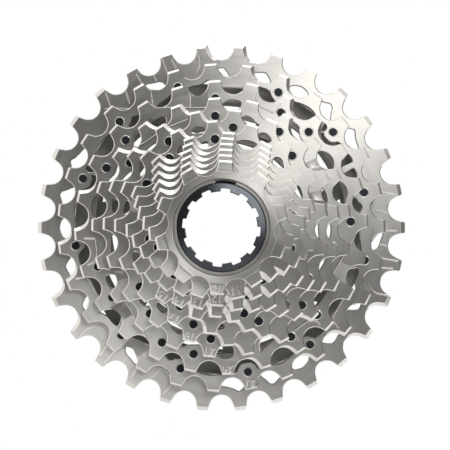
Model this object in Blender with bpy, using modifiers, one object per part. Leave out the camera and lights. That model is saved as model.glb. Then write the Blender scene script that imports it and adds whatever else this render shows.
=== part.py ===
"""Twelve-speed road bicycle cassette, 10 to 30 teeth, in metres with +Z up.

Twelve flat sprockets stand one behind the other along Y, the smallest at the front (-Y). Each is
riveted to the next larger one, and the largest to a carrier on a splined hub that slides onto the
freehub's driver body. The four smallest also sit on a sleeve. A lock tube turns inside the sleeve,
held by a snap ring, and screws onto the driver body from the front.
The origin is on the axle line, at the rear face of the carrier's hub.
Angles are in degrees, clockwise from the top as seen from the front.
"""

import math

import bmesh
import bpy
from mathutils import Matrix, Vector

MM = 0.001

# Driving dimensions, in millimetres.
CHAIN_PITCH = 12.7
SEAT_RADIUS = 4.0  # of the rounded gap that a chain roller sits in
SEAT_ARC = 66.0  # degrees of that arc each side of the gap's centre
TIP_GAP = 4.38  # half width of a gap just inside the pitch circle
FLANK_SLOPE = 0.286  # widening of a gap per millimetre outwards
TIP_HEIGHT = 0.6  # tooth tip above the pitch circle
LARGE_TIP_HEIGHT = 1.55  # the same on the largest sprocket

PLATE = 1.8  # sprocket thickness
SPACING = 3.6  # from one sprocket to the next
LAST_FRONT = -5.0  # front face of the largest sprocket, along Y
CLEARANCE = 0.3  # between pieces that touch

RIVET_RADIUS = 1.3
RIVET_SIDES = 8
RIVET_LOBE = 2.6  # radius of a bore's edge round each rivet

CARRIER_FRONT = -2.9
CARRIER_BACK = -0.3
CARRIER_LOBE = 2.4  # radius of the carrier's edge round each rivet
CARRIER_WINDOWS = 7
CARRIER_FIRST_ARM = 20.6  # degrees, of an arm between two of the carrier's windows
CARRIER_OPEN = (27.0, 41.5)  # inner and outer radius of the windows
CARRIER_OPEN_TURN = (19.7, 21.4)  # half of their arc at each
CARRIER_SWEEP = 11.5  # how far an arm turns clockwise on its way in
HUB_FRONT = -11.0
HUB_RADIUS = 22.5
SPLINES = 15
SPLINE_TIP = 16.5
SPLINE_ROOT = 17.5

SLEEVE_FRONT = -44.4
SLEEVE_BACK = -28.7
SLEEVE_BORE = 14.6
SLEEVE_RADIUS = 15.9
SLEEVE_NOSE = 15.0  # radius of its front end, inside the smallest sprocket

COLLAR_FRONT = -45.9
COLLAR_RADIUS = 13.75
COLLAR_BACK = -41.0
TUBE_RADIUS = 14.3
TUBE_BORE = 13.4
TUBE_BACK = -15.0
NOTCHES = 12
NOTCH_TURN = 6.3
NOTCH_INNER = 11.3  # the lands between the notches
NOTCH_OUTER = 12.3
NOTCH_WIDTH = 3.0

SNAP_INNER = 14.05
SNAP_OUTER = 15.05
SNAP_FRONT = -45.2
SNAP_BACK = -44.7
SNAP_OPENING = (-7.5, 18.0)

NOSE_FRONT = -45.4  # the smallest sprocket's raised front ring
NOSE_RADIUS = 17.8

# teeth, angle of tooth 0, bore radius between its lobes, rivet circle, rivet places in teeth
SPROCKETS = (
    (10, 3.7, 15.3, 0, ()),
    (11, 3.2, 16.2, 0, ()),
    (12, 3.4, 16.2, 0, ()),
    (13, 3.5, 16.2, 21.2, (5, 8, 9)),
    (14, 4.0, 17.5, 23.4, (3, 6, 10)),
    (15, 4.4, 19.4, 23.0, (2, 12)),
    (17, 17.0, 23.2, 29.0, (7, 9, 16)),
    (19, 6.65, 28.2, 33.2, (0, 6, 10, 17)),
    (21, 13.95, 32.4, 37.1, (1, 7, 12, 17)),
    (24, 12.4, 36.6, 43.25, (1, 2, 5, 8, 9, 12, 13, 15, 16, 19, 20, 23)),
    (27, 9.5, 42.2, 49.4, (1, 3, 5, 7, 10, 12, 14, 16, 19, 21, 23, 25)),
    (30, 6.0, 50.0, 0, ()),
)
LOBED_FROM = 17  # teeth of the smallest sprocket whose bore has lobes
# teeth: inner and outer radius of the windows, their longest arc and the arc kept clear of a rivet
WINDOWS = {
    24: (39.4, 43.6, 26.0, 5.0),
    27: (45.6, 49.9, 20.0, 4.6),
    30: (51.6, 55.6, 12.0, 3.4),
}
SPOKE_ARC = 3.6  # between two windows with no rivet between them
WINDOW_STEP = 6.0  # degrees of a window's edge to one of its points
BORE_STEP = 13.0  # the same for a lobed bore

STEEL = (0.62, 0.61, 0.59)
DARK_STEEL = (0.025, 0.026, 0.03)
BLACK_ALLOY = (0.05, 0.055, 0.065)
GREY_ALLOY = (0.075, 0.075, 0.075)


def clear_scene():
    for obj in list(bpy.data.objects):
        bpy.data.objects.remove(obj, do_unlink=True)


def new_collection(name):
    collection = bpy.data.collections.new(name)
    bpy.context.scene.collection.children.link(collection)
    return collection


def material(name, color, roughness, metallic):
    made = bpy.data.materials.new(name)
    made.use_nodes = True
    shader = made.node_tree.nodes["Principled BSDF"]
    shader.inputs["Base Color"].default_value = (*color, 1)
    shader.inputs["Roughness"].default_value = roughness
    shader.inputs["Metallic"].default_value = metallic
    return made


def at(radius, degrees):
    """The point at this radius and angle, in a flat outline's own plane."""
    turn = math.radians(degrees)
    return (radius * math.sin(turn), radius * math.cos(turn))


def circle(radius, sides, centre=(0, 0)):
    points = [at(radius, 360 * i / sides) for i in range(sides)]
    return [(centre[0] + x, centre[1] + y) for x, y in points]


def arc(radius, start, end, count):
    return [at(radius, start + (end - start) * i / (count - 1)) for i in range(count)]


def link(obj, collection):
    for old in list(obj.users_collection):
        old.objects.unlink(obj)
    collection.objects.link(obj)
    return obj


def meshed(obj, name, collection):
    """The curve object as a welded mesh object of its own."""
    bpy.context.view_layer.update()
    graph = bpy.context.evaluated_depsgraph_get()
    mesh = bpy.data.meshes.new_from_object(obj.evaluated_get(graph))
    work = bmesh.new()
    work.from_mesh(mesh)
    bmesh.ops.remove_doubles(work, verts=work.verts, dist=1e-6)
    bmesh.ops.recalc_face_normals(work, faces=work.faces)
    work.to_mesh(mesh)
    work.free()
    made = bpy.data.objects.new(name, mesh)
    made.matrix_world = obj.matrix_world.copy()
    bpy.data.objects.remove(obj, do_unlink=True)
    collection.objects.link(made)
    return made


def plate(name, outlines, front, back, collection):
    """Flat outlines, the first one the edge and the rest holes, made solid from y = front to y = back."""
    curve = bpy.data.curves.new(name, "CURVE")
    curve.dimensions = "2D"
    curve.fill_mode = "BOTH"
    curve.extrude = (back - front) / 2 * MM
    for outline in outlines:
        spline = curve.splines.new("POLY")
        spline.points.add(len(outline) - 1)
        for point, (x, y) in zip(spline.points, outline):
            point.co = (x * MM, y * MM, 0, 1)
        spline.use_cyclic_u = True
    obj = bpy.data.objects.new(name + "_outline", curve)
    collection.objects.link(obj)
    obj.location = (0, (front + back) / 2 * MM, 0)
    obj.rotation_euler = (math.pi / 2, 0, 0)
    return meshed(obj, name, collection)


def turned(name, profile, sides, collection):
    """A ring about the Y axis, whose section is the closed profile of (radius, y) pairs."""
    mesh = bpy.data.meshes.new(name)
    work = bmesh.new()
    points = [work.verts.new((radius * MM, y * MM, 0)) for radius, y in profile]
    for here, there in zip(points, points[1:] + points[:1]):
        work.edges.new((here, there))
    work.to_mesh(mesh)
    work.free()
    obj = bpy.data.objects.new(name, mesh)
    collection.objects.link(obj)
    screw = obj.modifiers.new("turn", "SCREW")
    screw.axis = "Y"
    screw.steps = sides
    screw.render_steps = sides
    screw.use_merge_vertices = True
    screw.merge_threshold = 0.00001
    screw.use_normal_calculate = True
    screw.use_normal_flip = True
    return obj


def combine(obj, other, operation, cutters):
    """Joins the other object to this one, or cuts it away."""
    boolean = obj.modifiers.new(operation.lower(), "BOOLEAN")
    boolean.operation = operation
    boolean.object = other
    other.hide_render = True
    other.display_type = "WIRE"
    link(other, cutters)


def sprocket_front(teeth):
    """The y of a sprocket's front face: the largest is the last."""
    order = [row[0] for row in SPROCKETS]
    return LAST_FRONT - SPACING * (len(order) - 1 - order.index(teeth))


def tooth_angle(teeth, first, place):
    return first + 360 / teeth * place


def toothed_edge(teeth, first):
    """One round gap after each tooth, with straight flanks up to the tips."""
    pitch_radius = CHAIN_PITCH / 2 / math.sin(math.pi / teeth)
    tip = pitch_radius + (LARGE_TIP_HEIGHT if teeth == SPROCKETS[-1][0] else TIP_HEIGHT)
    half_gap = TIP_GAP + FLANK_SLOPE * (tip - pitch_radius)
    seat = []
    for turn in (-SEAT_ARC, -SEAT_ARC / 3, SEAT_ARC / 3, SEAT_ARC):
        angle = math.radians(turn)
        seat.append((SEAT_RADIUS * math.sin(angle), pitch_radius - SEAT_RADIUS * math.cos(angle)))
    height = math.sqrt(tip * tip - half_gap * half_gap)
    gap = [(-half_gap, height), *seat, (half_gap, height)]
    edge = []
    for tooth in range(teeth):
        middle = tooth_angle(teeth, first, tooth + 0.5)
        for x, y in gap:
            edge.append(at(math.hypot(x, y), middle + math.degrees(math.atan2(x, y))))
    return edge


def rivet_points(row):
    teeth, first, _, radius, places = row
    return [at(radius, tooth_angle(teeth, first, place)) for place in places]


def rivet_holes(rows):
    radius = RIVET_RADIUS + CLEARANCE
    return [circle(radius, RIVET_SIDES, point) for row in rows for point in rivet_points(row)]


def lobed_bore(radius, rivet_row):
    """A round bore that dips inwards round each rivet of the row."""
    teeth, first, _, rivet_circle, places = rivet_row
    reach = (radius**2 + rivet_circle**2 - RIVET_LOBE**2) / (2 * radius * rivet_circle)
    half = math.degrees(math.acos(reach))
    slant = (radius**2 - rivet_circle**2 - RIVET_LOBE**2) / (2 * rivet_circle * RIVET_LOBE)
    start = math.acos(slant)
    angles = [tooth_angle(teeth, first, place) for place in places]
    edge = []
    for here, there in zip(angles, angles[1:] + [angles[0] + 360]):
        across, out = at(1, here)
        for step in range(1, 4):
            turn = start + (2 * math.pi - 2 * start) * step / 4
            outward = rivet_circle + RIVET_LOBE * math.cos(turn)
            sideways = -RIVET_LOBE * math.sin(turn)
            edge.append((outward * across + sideways * out, outward * out - sideways * across))
        span = there - here - 2 * half
        edge += arc(radius, here + half, there - half, max(2, round(span / BORE_STEP)))
    return edge


def window_outlines(teeth, rivet_row):
    """Windows that share the arcs between one row of rivets, leaving out those too short to cut."""
    inner, outer, longest, clear = WINDOWS[teeth]
    row_teeth, first, _, _, places = rivet_row
    angles = [tooth_angle(row_teeth, first, place) for place in places]
    windows = []
    for here, there in zip(angles, angles[1:] + [angles[0] + 360]):
        start, end = here + clear, there - clear
        shares = max(1, math.ceil((end - start) / longest))
        share = (end - start + SPOKE_ARC) / shares
        if share - SPOKE_ARC < SPOKE_ARC:
            continue
        for i in range(shares):
            low = start + i * share
            high = low + share - SPOKE_ARC
            count = max(2, round((high - low) / WINDOW_STEP))
            windows.append(arc(outer, low, high, count) + arc(inner, high, low, count))
    return windows


def make_sprockets(parts, cutters, steel):
    for index, row in enumerate(SPROCKETS):
        teeth, first, bore, _, _ = row
        name = f"sprocket_{teeth}t"
        front = sprocket_front(teeth)
        rows = [row] + ([SPROCKETS[index - 1]] if index else [])
        bore_edge = circle(bore, 24) if teeth < LOBED_FROM else lobed_bore(bore, rows[-1])
        outlines = [toothed_edge(teeth, first), bore_edge] + rivet_holes(rows)
        if teeth in WINDOWS:
            outlines += window_outlines(teeth, row if row[4] else SPROCKETS[index - 1])
        sprocket = plate(name, outlines, front, front + PLATE, parts)
        sprocket.data.materials.append(steel)
        if teeth == SPROCKETS[0][0]:
            ring = [circle(NOSE_RADIUS, 24), bore_edge]
            nose = plate("nose_ring", ring, NOSE_FRONT, front + PLATE / 2, parts)
            combine(sprocket, nose, "UNION", cutters)


def make_rivets(parts, dark):
    """Each rivet runs from its sprocket's front face to the back of the next one, or of the carrier."""
    for index, row in enumerate(SPROCKETS):
        teeth = row[0]
        front = sprocket_front(teeth)
        back = front + SPACING + PLATE
        if index == len(SPROCKETS) - 2:
            back = CARRIER_BACK
        for number, (x, z) in enumerate(rivet_points(row), 1):
            bpy.ops.mesh.primitive_cylinder_add(
                vertices=RIVET_SIDES,
                radius=RIVET_RADIUS * MM,
                depth=(back - front) * MM,
                location=(x * MM, (front + back) / 2 * MM, z * MM),
                rotation=(math.pi / 2, 0, 0),
            )
            rivet = link(bpy.context.object, parts)
            rivet.name = f"rivet_{teeth}t_{number:02d}"
            rivet.data.materials.append(dark)
            rivet.data.shade_smooth()
            rivet.data.set_sharp_from_angle(angle=math.radians(50))


def make_carrier(parts, grey):
    """A disc with a lobed edge and windows, on a hub with a splined bore."""
    last_rivets = SPROCKETS[-2]
    angles = [tooth_angle(last_rivets[0], last_rivets[1], place) for place in last_rivets[4]]
    edge = []
    for angle, (x, y) in zip(angles, rivet_points(last_rivets)):
        for turn in (-50, 0, 50):
            lobe_x, lobe_y = at(CARRIER_LOBE, angle + turn)
            edge.append((x + lobe_x, y + lobe_y))
    windows = []
    for i in range(CARRIER_WINDOWS):
        middle = CARRIER_FIRST_ARM + 360 / CARRIER_WINDOWS * (i + 0.5)
        inner_turn, outer_turn = CARRIER_OPEN_TURN
        outer = arc(CARRIER_OPEN[1], middle - outer_turn, middle + outer_turn, 7)
        middle += CARRIER_SWEEP
        inner = arc(CARRIER_OPEN[0], middle + inner_turn, middle - inner_turn, 7)
        windows.append(outer + inner)
    disc_bore = circle(HUB_RADIUS + CLEARANCE, 24)
    outlines = [edge, disc_bore] + rivet_holes([last_rivets]) + windows
    carrier = plate("carrier", outlines, CARRIER_FRONT, CARRIER_BACK, parts)
    splines = []
    for i in range(SPLINES):
        middle = 360 / SPLINES * i
        splines += arc(SPLINE_ROOT, middle - 6.5, middle + 6.5, 2)
        splines += arc(SPLINE_TIP, middle + 8.0, middle + 16.0, 2)
    hub = plate("carrier_hub", [circle(HUB_RADIUS, 24), splines], HUB_FRONT, 0, parts)
    for piece in (carrier, hub):
        piece.data.materials.append(grey)


def make_sleeve(parts, steel):
    step = sprocket_front(SPROCKETS[0][0]) + PLATE + CLEARANCE
    profile = [
        (SLEEVE_BORE, SLEEVE_FRONT),
        (SLEEVE_BORE, SLEEVE_BACK),
        (SLEEVE_RADIUS, SLEEVE_BACK),
        (SLEEVE_RADIUS, step),
        (SLEEVE_NOSE, step),
        (SLEEVE_NOSE, SLEEVE_FRONT),
    ]
    sleeve = turned("hub_sleeve", profile, 24, parts)
    sleeve.data.materials.append(steel)


def make_lock_tube(parts, cutters, black):
    """A tube with a notched front collar, stepped so that the snap ring keeps it in."""
    step = SNAP_BACK + CLEARANCE
    profile = [
        (NOTCH_INNER, COLLAR_FRONT),
        (NOTCH_INNER, COLLAR_BACK),
        (TUBE_BORE, COLLAR_BACK),
        (TUBE_BORE, TUBE_BACK),
        (TUBE_RADIUS, TUBE_BACK),
        (TUBE_RADIUS, step),
        (COLLAR_RADIUS, step),
        (COLLAR_RADIUS, COLLAR_FRONT),
    ]
    tube = turned("lock_tube", profile, 36, parts)
    tube.data.materials.append(black)
    mesh = bpy.data.meshes.new("notch_cutters")
    work = bmesh.new()
    length = COLLAR_BACK - COLLAR_FRONT + 2
    depth = NOTCH_OUTER - NOTCH_INNER + 1
    for i in range(NOTCHES):
        turn = math.radians(NOTCH_TURN + 360 / NOTCHES * i)
        middle = Vector((0, (COLLAR_FRONT + COLLAR_BACK) / 2, NOTCH_OUTER - depth / 2)) * MM
        size = Matrix.Diagonal((NOTCH_WIDTH * MM, length * MM, depth * MM, 1))
        place = Matrix.Rotation(turn, 4, "Y") @ Matrix.Translation(middle)
        bmesh.ops.create_cube(work, size=1, matrix=place @ size)
    work.to_mesh(mesh)
    work.free()
    notches = bpy.data.objects.new("notch_cutters", mesh)
    cutters.objects.link(notches)
    combine(tube, notches, "DIFFERENCE", cutters)


def make_snap_ring(parts, steel):
    start, end = SNAP_OPENING
    outline = arc(SNAP_OUTER, end, start + 360, 28) + arc(SNAP_INNER, start + 360, end, 28)
    ring = plate("snap_ring", [outline], SNAP_FRONT, SNAP_BACK, parts)
    ring.data.materials.append(steel)


def main():
    clear_scene()
    parts = new_collection("cassette")
    cutters = new_collection("cutters")
    steel = material("sprocket_steel", STEEL, 0.35, 1.0)
    dark = material("rivet_steel", DARK_STEEL, 0.4, 0.6)
    black = material("lock_tube_alloy", BLACK_ALLOY, 0.35, 0.6)
    grey = material("carrier_alloy", GREY_ALLOY, 0.6, 0.3)
    make_sprockets(parts, cutters, steel)
    make_rivets(parts, dark)
    make_carrier(parts, grey)
    make_sleeve(parts, steel)
    make_lock_tube(parts, cutters, black)
    make_snap_ring(parts, steel)


main()
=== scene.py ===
"""The looks of a twelve-speed cassette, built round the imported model.

The bevelled plates have windows, ramps, facets, raised lines and numerals. The rivets are shouldered, the
lock tube is notched, and the carrier has a splined hub. Design dimensions are in millimetres. Angles are in
degrees, clockwise from the top as seen from the front.
"""

import math

import bmesh
import bpy
from mathutils import Matrix, Vector


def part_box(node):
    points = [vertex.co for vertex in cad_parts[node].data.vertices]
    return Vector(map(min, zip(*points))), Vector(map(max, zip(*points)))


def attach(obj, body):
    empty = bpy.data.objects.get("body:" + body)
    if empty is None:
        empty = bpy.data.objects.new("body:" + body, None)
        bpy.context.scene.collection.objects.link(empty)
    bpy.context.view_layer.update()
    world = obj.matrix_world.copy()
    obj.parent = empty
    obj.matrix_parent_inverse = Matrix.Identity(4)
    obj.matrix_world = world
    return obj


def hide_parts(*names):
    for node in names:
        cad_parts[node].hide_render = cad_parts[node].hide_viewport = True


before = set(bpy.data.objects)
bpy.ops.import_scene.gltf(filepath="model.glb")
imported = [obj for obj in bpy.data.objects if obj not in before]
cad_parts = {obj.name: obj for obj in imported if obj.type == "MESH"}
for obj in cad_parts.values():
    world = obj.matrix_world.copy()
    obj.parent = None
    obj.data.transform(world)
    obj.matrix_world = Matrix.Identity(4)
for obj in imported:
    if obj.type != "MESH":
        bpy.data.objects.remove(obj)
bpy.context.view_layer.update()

MM = 0.001

# Numbers of sides, and of points along curves.
ROUND_SIDES = 96
CONE_SIDES = 180
RIVET_SIDES = 20
CARRIER_HOLE_SIDES = 14
FLOOR_SIDES = 128
LOOP_STEPS = 4
SEAT_STEPS = 5
LOBE_STEPS = 12
CARRIER_OPEN_POINTS = (12, 16)
SPLINE_POINTS = (4, 3)
LAND_POINTS = 4
SNAP_POINTS = 120
WELD = 1e-6  # points closer than this, in metres, are one

# CLEAR and AHEAD in a name below mean how far a cutter reaches past what it cuts.

# Tooth form, the same as the model's.
CHAIN_PITCH = 12.7
SEAT_RADIUS = 4.0
SEAT_ARC = 66.0  # half the angle of the round seat between two teeth
TIP_GAP = 4.38  # half the width of a gap at the pitch radius
FLANK_SLOPE = 0.286  # how much that widens per millimetre outwards
TIP_HEIGHT = 0.6
LARGE_TIP_HEIGHT = 1.55

PLATE = 1.8
PLATE_BEVEL = 0.25
PLATE_STEEP = 0.95
TIP_CHAMFER = 0.75  # width of the sloping end of a tooth
LARGE_TIP_CHAMFER = 1.35  # the same on the largest sprocket
TIP_SLOPE = 0.7
TIP_CLEAR = 0.5

RIVET_HOLE = 1.2
RIVET_SHANK = 1.15
# A rivet's section, as radii and distances along it: behind the plate's front face for the head, from the
# plate beside it for half the shoulder, and ahead of the rivet's end for the tail.
RIVET_HEAD = ((0.0, -0.04), (1.22, -0.04), (1.32, 0.0), (RIVET_SHANK, 0.03))
RIVET_SHOULDER = ((RIVET_SHANK, 0.02), (1.95, 0.04), (2.1, 0.22))
RIVET_TAIL = ((RIVET_SHANK, 0.2), (1.0, 0.03), (0.0, 0.03))
# The raised lip round a rivet, as (radius, y behind the face).
RIVET_LIP = ((1.36, 0.5), (1.36, 0.0), (1.41, -0.05), (1.49, -0.05), (1.62, 0.03), (1.62, 0.5))

# teeth: tooth 0's angle, bore radius, rivet circle, rivet places in teeth with the model's own ones first
SPROCKETS = {
    10: (3.7, 15.3, 0, ()),
    11: (3.2, 16.2, 0, ()),
    12: (3.4, 16.2, 0, ()),
    13: (3.5, 16.2, 21.2, (5, 8, 9)),
    14: (4.0, 17.5, 23.4, (3, 6, 10, 4, 8)),
    15: (4.4, 19.4, 23.0, (2, 12, 7)),
    17: (17.0, 23.2, 29.0, (7, 9, 16)),
    19: (6.65, 28.2, 33.2, (0, 6, 10, 17, 2, 8, 12)),
    21: (13.95, 32.4, 37.1, (1, 7, 12, 17, 5, 10, 20)),
    24: (12.4, 36.6, 43.25, (1, 2, 5, 8, 9, 12, 13, 15, 16, 19, 20, 23)),
    27: (9.5, 42.2, 49.4, (1, 3, 5, 7, 10, 12, 14, 16, 19, 21, 23, 25)),
    30: (6.0, 50.0, 0, ()),
}
ORDER = tuple(SPROCKETS)
SMALLEST, LARGEST = ORDER[0], ORDER[-1]
LOBED_FROM = 17  # teeth of the smallest sprocket whose bore dips inwards round each rivet
RIVET_LOBE = 2.6
LOBE_EASE = 0.8  # angle left between a lobe and the round bore beside it
BORE_STEP = 4  # angle from point to point of the bore there
CAD_RIVETS = {13: 3, 14: 3, 15: 2, 17: 3, 19: 4, 21: 4, 24: 12, 27: 12}  # teeth: rivets that the model has
# teeth: (angle, radius) of rivets that aren't on the rivet circle
GAP_RIVETS = {17: ((300.2, 28.3), (323.1, 28.3))}
CARRIER_RIVETED = 27  # teeth of the sprocket whose rivets reach the carrier
GATES = 3  # the shift gates
GATE_TURN = 120

# Windows as (angle, radius) points of a smooth closed edge. The first two sets repeat every third of a turn.
WINDOWS_30 = (
    (
        (11.4, 53.4), (13.2, 53.9), (15.7, 54.4), (17.1, 53.6), (18.4, 52.3), (18.8, 51.2), (16.6, 50.9),
        (13.4, 51.8),
    ),
    (
        (26.3, 53.4), (27.8, 54.3), (30.0, 54.8), (32.3, 54.3), (33.2, 53.4), (32.4, 51.8), (30.4, 50.9),
        (27.4, 50.9), (26.0, 51.8),
    ),
    (
        (38.3, 54.1), (39.8, 55.0), (41.5, 55.8), (42.8, 55.1), (43.6, 53.8), (44.9, 52.2), (44.9, 51.2),
        (42.4, 50.9), (40.2, 51.9),
    ),
    (
        (51.9, 54.2), (52.8, 55.2), (54.0, 55.8), (55.5, 54.9), (57.4, 54.2), (60.0, 53.5), (59.2, 52.0),
        (57.2, 50.9), (54.6, 51.0), (53.2, 52.2),
    ),
    (
        (91.7, 54.1), (92.6, 54.7), (94.2, 54.2), (97.2, 53.5), (98.3, 52.2), (98.2, 51.2), (96.4, 50.9),
        (93.8, 52.1),
    ),
    (
        (118.7, 53.7), (120.5, 54.1), (121.6, 53.2), (122.5, 52.0), (122.9, 51.0), (121.8, 50.9),
        (120.3, 52.0),
    ),
)
WINDOWS_27 = (
    (
        (14.5, 48.6), (17.0, 48.9), (19.3, 48.6), (20.6, 47.4), (22.3, 46.4), (23.9, 45.7), (22.0, 44.6),
        (18.0, 44.7), (15.8, 46.8),
    ),
    (
        (27.5, 49.2), (30.0, 48.9), (32.6, 49.5), (36.0, 49.9), (39.0, 49.6), (40.3, 48.5), (40.0, 46.2),
        (37.5, 44.4), (32.5, 44.3), (29.3, 45.6),
    ),
    ((77.2, 46.0), (79.4, 46.8), (81.3, 47.8), (82.8, 47.4), (84.3, 46.3), (82.6, 45.0), (79.6, 44.6)),
    ((91.2, 46.0), (95.2, 46.8), (99.4, 47.7), (99.8, 46.4), (98.0, 44.8), (93.2, 44.8)),
    (
        (106.7, 48.1), (108.6, 48.5), (112.2, 48.6), (115.1, 49.7), (115.2, 47.6), (113.2, 45.2),
        (109.0, 45.0), (107.2, 46.6),
    ),
    ((120.7, 46.8), (125.0, 47.0), (129.4, 47.0), (128.0, 45.4), (122.2, 45.3)),
)
# The long window of the other two gates.
WINDOW_27_LONG = (
    (59.2, 48.5), (60.2, 49.4), (65.0, 49.8), (69.0, 49.3), (70.1, 48.3), (68.6, 46.0), (66.6, 44.4),
    (63.0, 44.3), (60.4, 46.2),
)
# The curved windows round three of the 24-tooth sprocket's rivets, one of each.
WINDOWS_27_CURVED = (
    (
        (46.9, 46.9), (47.9, 46.3), (49.5, 46.2), (51.5, 46.4), (52.9, 47.3), (53.6, 48.5), (55.1, 48.9),
        (54.4, 46.6), (51.8, 44.5), (48.4, 44.3), (46.4, 45.4),
    ),
    (
        (163.3, 49.5), (165.4, 48.8), (166.1, 47.5), (167.6, 46.5), (169.5, 46.2), (171.5, 46.4),
        (172.9, 47.3), (173.6, 48.5), (175.1, 48.9), (174.4, 46.6), (171.8, 44.5), (166.4, 44.5),
        (163.6, 46.8),
    ),
    (
        (283.3, 49.5), (285.4, 48.8), (286.1, 47.5), (287.6, 46.5), (289.5, 46.2), (291.0, 46.4),
        (292.0, 46.9), (292.3, 46.0), (291.2, 44.7), (286.4, 44.5), (283.6, 46.8),
    ),
)
# The long window of the top gate, in two parts.
WINDOWS_27_SPLIT = (
    ((59.2, 48.5), (60.2, 49.3), (63.2, 49.4), (63.4, 46.8), (63.2, 44.5), (61.8, 44.6), (60.2, 46.4)),
    ((66.0, 48.8), (69.6, 48.7), (69.4, 47.4), (68.0, 45.8), (66.4, 44.8), (65.9, 46.8)),
)
WINDOWS_24 = (
    (
        (0.8, 41.4), (3.0, 42.5), (6.0, 42.7), (9.0, 42.2), (8.6, 40.2), (5.6, 38.9), (2.0, 38.9),
        (0.2, 40.0),
    ),
    (
        (32.8, 42.4), (37.3, 42.4), (38.8, 41.2), (41.2, 39.9), (44.0, 39.6), (43.0, 38.4), (38.4, 38.2),
        (34.8, 40.0),
    ),
    (
        (52.2, 41.6), (55.6, 43.4), (59.6, 43.4), (62.4, 41.8), (61.0, 39.6), (58.8, 38.4), (55.2, 38.4),
        (52.8, 39.8),
    ),
    (
        (68.4, 41.8), (71.2, 43.5), (75.0, 43.5), (77.6, 42.3), (79.5, 41.7), (78.8, 39.8), (76.2, 38.5),
        (71.6, 38.5), (69.6, 39.8),
    ),
    ((120.0, 40.9), (124.0, 41.1), (129.6, 41.1), (129.0, 39.4), (125.4, 38.5), (121.6, 38.8)),
    (
        (152.6, 41.2), (156.6, 42.0), (160.2, 42.8), (162.2, 43.5), (162.0, 41.4), (160.4, 39.6),
        (157.4, 38.5), (153.6, 39.2),
    ),
    (
        (174.2, 42.0), (176.0, 43.5), (179.8, 43.5), (182.6, 42.2), (182.4, 40.2), (180.0, 38.5),
        (176.4, 38.5), (174.6, 40.0),
    ),
    (
        (191.0, 39.7), (195.4, 40.6), (198.0, 42.0), (200.3, 41.6), (200.2, 39.8), (197.6, 38.5),
        (193.6, 38.6),
    ),
    (
        (238.6, 40.6), (240.6, 42.0), (244.0, 42.3), (247.0, 41.8), (246.8, 40.0), (245.0, 38.5),
        (240.8, 38.5),
    ),
    (
        (274.0, 42.3), (277.4, 43.5), (281.2, 43.9), (285.0, 43.2), (285.4, 41.4), (283.4, 39.4),
        (279.6, 38.5), (275.8, 39.8),
    ),
    (
        (291.0, 41.6), (294.0, 40.4), (297.4, 39.8), (300.4, 40.2), (299.4, 38.7), (295.6, 38.4),
        (292.0, 39.6),
    ),
    ((313.2, 39.8), (315.4, 41.8), (318.0, 42.9), (320.2, 41.6), (319.2, 39.6), (316.6, 38.5)),
    (
        (324.6, 41.8), (326.6, 43.5), (329.4, 42.3), (332.8, 41.5), (332.2, 39.6), (329.4, 38.4),
        (326.0, 39.4),
    ),
)
WINDOWS_21 = (
    ((10.4, 36.8), (12.4, 37.8), (15.6, 37.5), (17.6, 36.6), (21.4, 35.8), (18.4, 35.4), (12.6, 35.9)),
    ((69.0, 35.7), (70.6, 36.3), (75.4, 36.2), (77.2, 35.4), (75.0, 34.4), (71.0, 34.4)),
    ((88.2, 35.7), (90.0, 36.2), (94.2, 36.1), (95.6, 35.4), (94.0, 34.4), (90.0, 34.4)),
    ((106.8, 35.6), (109.0, 35.9), (113.2, 35.3), (112.4, 34.4), (108.6, 34.4)),
    (
        (199.8, 37.0), (201.6, 37.8), (205.0, 37.5), (207.2, 36.4), (209.8, 35.8), (207.4, 35.3),
        (201.6, 36.0),
    ),
    ((222.6, 35.4), (224.6, 36.3), (228.2, 36.2), (227.8, 35.0), (224.6, 34.4)),
    ((257.0, 37.1), (260.4, 36.9), (265.8, 36.3), (264.6, 35.0), (261.0, 34.4), (258.0, 35.6)),
    ((277.2, 35.8), (281.6, 36.8), (284.8, 37.1), (285.0, 36.0), (282.4, 34.6), (278.8, 34.6)),
    ((296.0, 36.4), (299.4, 35.8), (301.4, 35.2), (299.6, 34.4), (297.0, 35.2)),
    ((315.8, 35.6), (320.0, 35.6), (322.4, 35.2), (320.4, 34.3), (317.2, 34.4)),
)
WINDOWS_19 = (
    ((21.6, 33.0), (24.4, 34.1), (28.0, 33.7), (30.0, 32.6), (27.4, 31.6), (23.6, 31.6)),
    ((88.0, 31.7), (92.8, 31.9), (97.6, 32.3), (96.4, 31.0), (92.0, 30.4)),
    ((137.6, 32.8), (139.4, 34.2), (141.8, 33.8), (142.4, 32.4), (140.2, 31.6)),
    ((177.8, 32.8), (180.8, 33.4), (183.6, 33.2), (182.6, 32.0), (179.4, 31.6)),
    ((212.8, 33.2), (214.8, 34.0), (218.2, 33.6), (220.2, 32.4), (217.4, 31.8), (213.8, 32.2)),
    ((277.8, 32.4), (281.6, 32.7), (285.8, 32.2), (284.4, 31.2), (280.4, 30.9)),
    ((302.6, 31.6), (305.6, 32.9), (309.0, 34.1), (310.8, 33.6), (309.4, 32.0), (306.0, 31.0)),
    ((342.8, 33.0), (345.6, 34.0), (349.4, 33.4), (352.0, 32.4), (348.8, 31.8), (344.8, 32.2)),
)
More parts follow.
